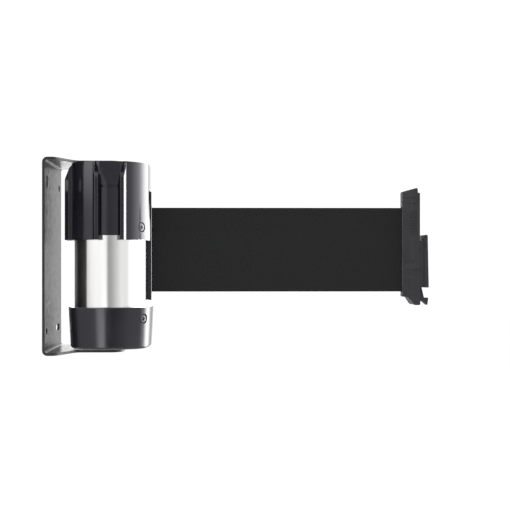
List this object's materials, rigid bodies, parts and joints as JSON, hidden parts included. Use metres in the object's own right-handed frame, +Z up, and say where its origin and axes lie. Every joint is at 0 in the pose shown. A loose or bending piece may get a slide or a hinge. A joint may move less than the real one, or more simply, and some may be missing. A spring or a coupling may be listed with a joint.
{
  "type": "wall mounted retractable belt unit",
  "caption": "Wall-mounted crowd control unit: a steel U-bracket holds a swivelling cassette with a spring-returned belt, T-slot receivers and a latching belt end.",
  "frame": {"origin": "centre of the bracket's back face, where it lies on the wall", "axes": "+X away from the wall along the belt, +Z up along the swivel axis, +Y to the rear so that the viewer at -Y sees the belt run to the right"},
  "size_m": [0.2264, 0.0552, 0.1134],
  "materials": {
    "coated_steel": "satin black powder coat",
    "gloss_black": "gloss black moulding",
    "matte_black": "fine matt black moulding",
    "polished_tube": "polished, drawn lengthways",
    "plain_steel": "bright zinc",
    "black_screw": "black oxide",
    "brass": "turned",
    "grey_plastic": "natural acetal",
    "webbing": "black polyester webbing, fine twill",
    "felt": "pressed felt"
  },
  "bodies": {
    "bracket": {"wall_bracket": "coated_steel", "upper_pivot_screw": "plain_steel", "lower_pivot_screw": "plain_steel", "upper_thrust_washer": "grey_plastic", "lower_thrust_washer": "grey_plastic"},
    "cassette": {"head_housing": "gloss_black", "shell_tube": "polished_tube", "bottom_collar": "gloss_black", "belt_mouth_guide": "gloss_black", "head_screw_front": "black_screw", "head_screw_rear": "black_screw", "collar_screw_front": "black_screw", "collar_screw_rear": "black_screw", "upper_pivot_insert": "brass", "lower_pivot_insert": "brass", "upper_bearing_plate": "grey_plastic", "lower_bearing_plate": "grey_plastic", "centre_shaft": "plain_steel", "spring_arbor": "plain_steel", "power_spring": "plain_steel", "drag_washer": "felt"},
    "spool": {"spool_hub": "grey_plastic", "spool_upper_flange": "grey_plastic", "upper_bush": "brass", "lower_bush": "brass", "spring_drum": "grey_plastic", "spring_drum_lid": "grey_plastic", "belt_roll": "webbing", "belt_locking_pin": "plain_steel"},
    "belt_end": {"belt_strip": "webbing", "clip_body": "matte_black", "clip_cover": "matte_black", "belt_bar": "plain_steel", "clip_screw": "black_screw", "latch_pin": "plain_steel", "latch_spring": "plain_steel"},
    "latch": {"latch_lever": "matte_black"}
  },
  "joints": [
    {"name": "swivel", "type": "hinge", "parent": "bracket", "child": "cassette", "pos_m": [0.0363, 0, 0], "axis": [0, 0, 1], "range_deg": [-90, 90]},
    {"name": "belt_slide", "type": "slide", "parent": "cassette", "child": "belt_end", "axis": [1, 0, 0], "range_m": [-0.149, 1.85], "stiffness_N_per_m": 1.2, "springref_m": -2, "deforming": ["belt_strip"]},
    {"name": "spool_turn", "type": "hinge", "parent": "cassette", "child": "spool", "pos_m": [0.0363, 0, 0], "axis": [0, 0, 1], "range_deg": [-665, 8180]},
    {"name": "latch_hinge", "type": "hinge", "parent": "belt_end", "child": "latch", "pos_m": [0.2195, 0, -0.0115], "axis": [0, 1, 0], "range_deg": [0, 8], "stiffness_Nm_per_rad": 0.05, "springref_deg": -11.46, "deforming": ["latch_spring"]}
  ],
  "couplings": [
    {"joint": "spool_turn", "follows": "belt_slide", "rad_per_m": 77.1}
  ]
}
